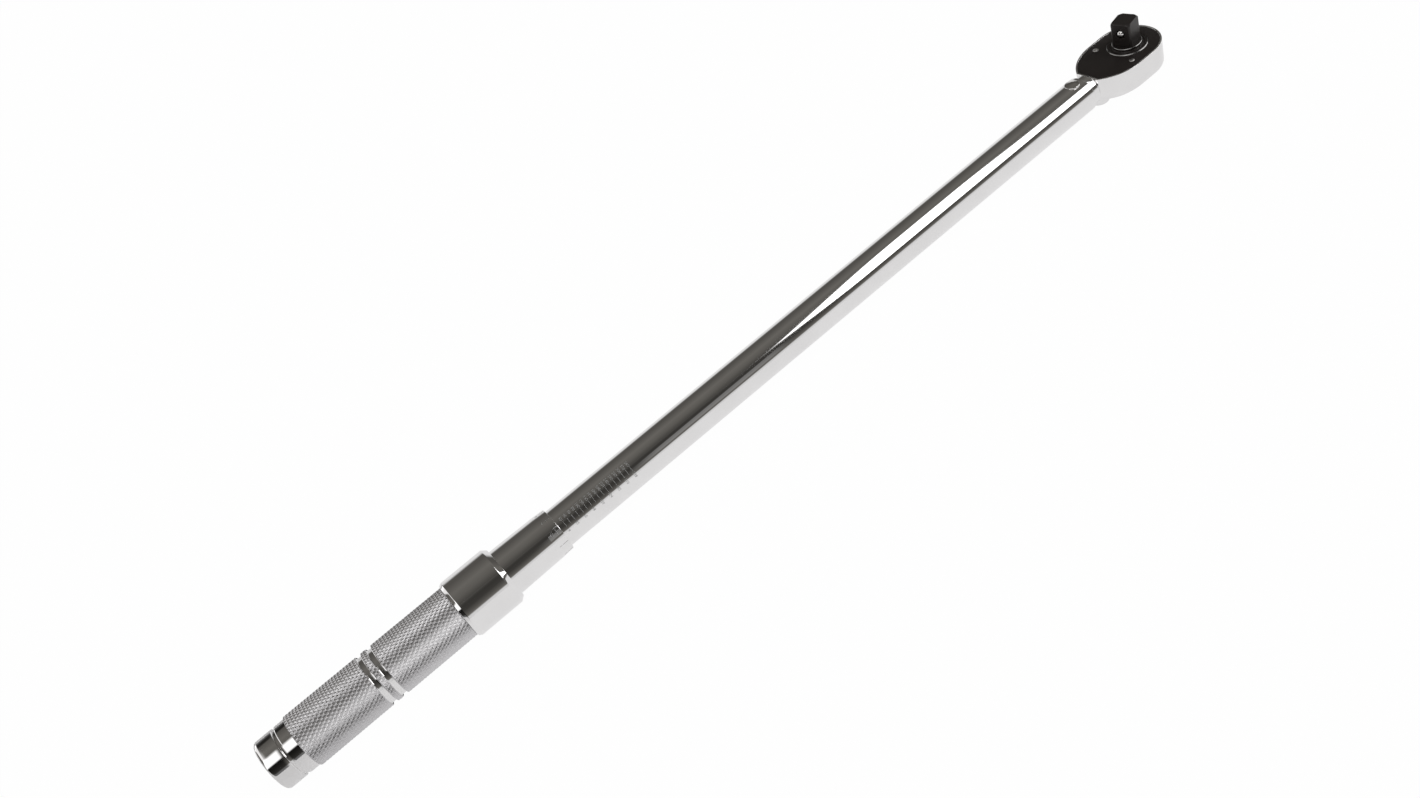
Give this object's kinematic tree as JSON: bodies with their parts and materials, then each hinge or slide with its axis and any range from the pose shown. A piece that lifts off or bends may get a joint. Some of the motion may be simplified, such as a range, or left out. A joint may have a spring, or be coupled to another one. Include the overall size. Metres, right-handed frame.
{
  "type": "click torque wrench",
  "caption": "Adjustable click torque wrench with a reversible ratchet head, square drive, scaled tube, spring-loaded lock ring and knurled handle.",
  "frame": {"origin": "where the square drive's axis crosses the tube's centreline", "axes": "+X along the tube from the handle to the head, +Z along the drive axis towards the tip of the square"},
  "size_m": [0.6649, 0.0408, 0.0434],
  "materials": {
    "chrome_plate": "polished",
    "plain_steel": "ground",
    "black_oxide": "satin black oxide",
    "spring_steel": "oiled"
  },
  "bodies": {
    "tube_body": {"tube": "chrome_plate", "pivot_pin": "chrome_plate", "adjusting_nut": "plain_steel", "nut_pins": "plain_steel", "main_spring": "spring_steel"},
    "head": {"ratchet_head": "chrome_plate", "cover_plate": "black_oxide", "cover_rivets": "plain_steel", "pawl_pin": "plain_steel"},
    "drive": {"square_drive": "black_oxide", "detent_spring": "spring_steel"},
    "drive_ball": {"detent_ball": "plain_steel"},
    "pawl": {"pawl": "plain_steel"},
    "lever": {"reverse_lever": "chrome_plate", "pawl_plunger": "plain_steel", "pawl_plunger_spring": "spring_steel"},
    "plunger": {"plunger": "plain_steel"},
    "trip_block": {"trip_block": "plain_steel"},
    "carriage": {"spring_seat": "plain_steel", "spring_spacer": "plain_steel", "thrust_seat": "plain_steel", "thrust_ball": "plain_steel"},
    "handle": {"grip": "chrome_plate", "index_sleeve": "chrome_plate", "adjusting_screw": "plain_steel", "screw_carrier": "plain_steel", "lock_balls": "plain_steel", "snap_ring": "spring_steel", "lock_spring": "spring_steel", "end_cap": "chrome_plate"},
    "lock_ring": {"lock_ring": "chrome_plate"}
  },
  "joints": [
    {"name": "click_pivot", "type": "hinge", "parent": "tube_body", "child": "head", "pos_m": [-0.05, 0, 0], "axis": [0, 0, -1], "range_deg": [0, 1.5], "stiffness_Nm_per_rad": 50, "springref_deg": -1.15},
    {"name": "plunger_slide", "type": "slide", "parent": "tube_body", "child": "plunger", "axis": [-1, 0, 0], "range_m": [0, 0.0017], "deforming": ["main_spring"]},
    {"name": "block_tilt", "type": "hinge", "parent": "plunger", "child": "trip_block", "pos_m": [-0.149, 0.003, 0], "axis": [0, 0, 1], "range_deg": [0, 15.1]},
    {"name": "drive_spin", "type": "hinge", "parent": "head", "child": "drive", "pos_m": [0, 0, 0], "axis": [0, 0, 1], "continuous": true},
    {"name": "ball_press", "type": "slide", "parent": "drive", "child": "drive_ball", "axis": [0.9763, 0.2164, 0], "range_m": [0, 0.0009], "stiffness_N_per_m": 800, "deforming": ["detent_spring"]},
    {"name": "lever_turn", "type": "hinge", "parent": "head", "child": "lever", "pos_m": [-0.0295, 0, 0], "axis": [0, 0, 1], "range_deg": [0, 70]},
    {"name": "pawl_swing", "type": "hinge", "parent": "head", "child": "pawl", "pos_m": [-0.0215, 0, 0], "axis": [0, 0, 1], "range_deg": [-12.05, 0]},
    {"name": "handle_turn", "type": "hinge", "parent": "carriage", "child": "handle", "pos_m": [-0.55, 0, 0], "axis": [1, 0, 0], "range_deg": [0, 5761]},
    {"name": "handle_travel", "type": "slide", "parent": "tube_body", "child": "carriage", "axis": [1, 0, 0], "range_m": [0, 0.0459], "deforming": ["main_spring"]},
    {"name": "lock_pull", "type": "slide", "parent": "handle", "child": "lock_ring", "axis": [-1, 0, 0], "range_m": [0, 0.004], "stiffness_N_per_m": 1200, "springref_m": -0.004, "deforming": ["lock_spring"]}
  ],
  "couplings": [
    {"joint": "plunger_slide", "follows": "click_pivot", "m_per_rad": 0.064},
    {"joint": "block_tilt", "follows": "click_pivot", "ratio": 10},
    {"joint": "pawl_swing", "follows": "lever_turn", "ratio": -0.17143},
    {"joint": "handle_turn", "follows": "handle_travel", "rad_per_m": 2190.2}
  ]
}
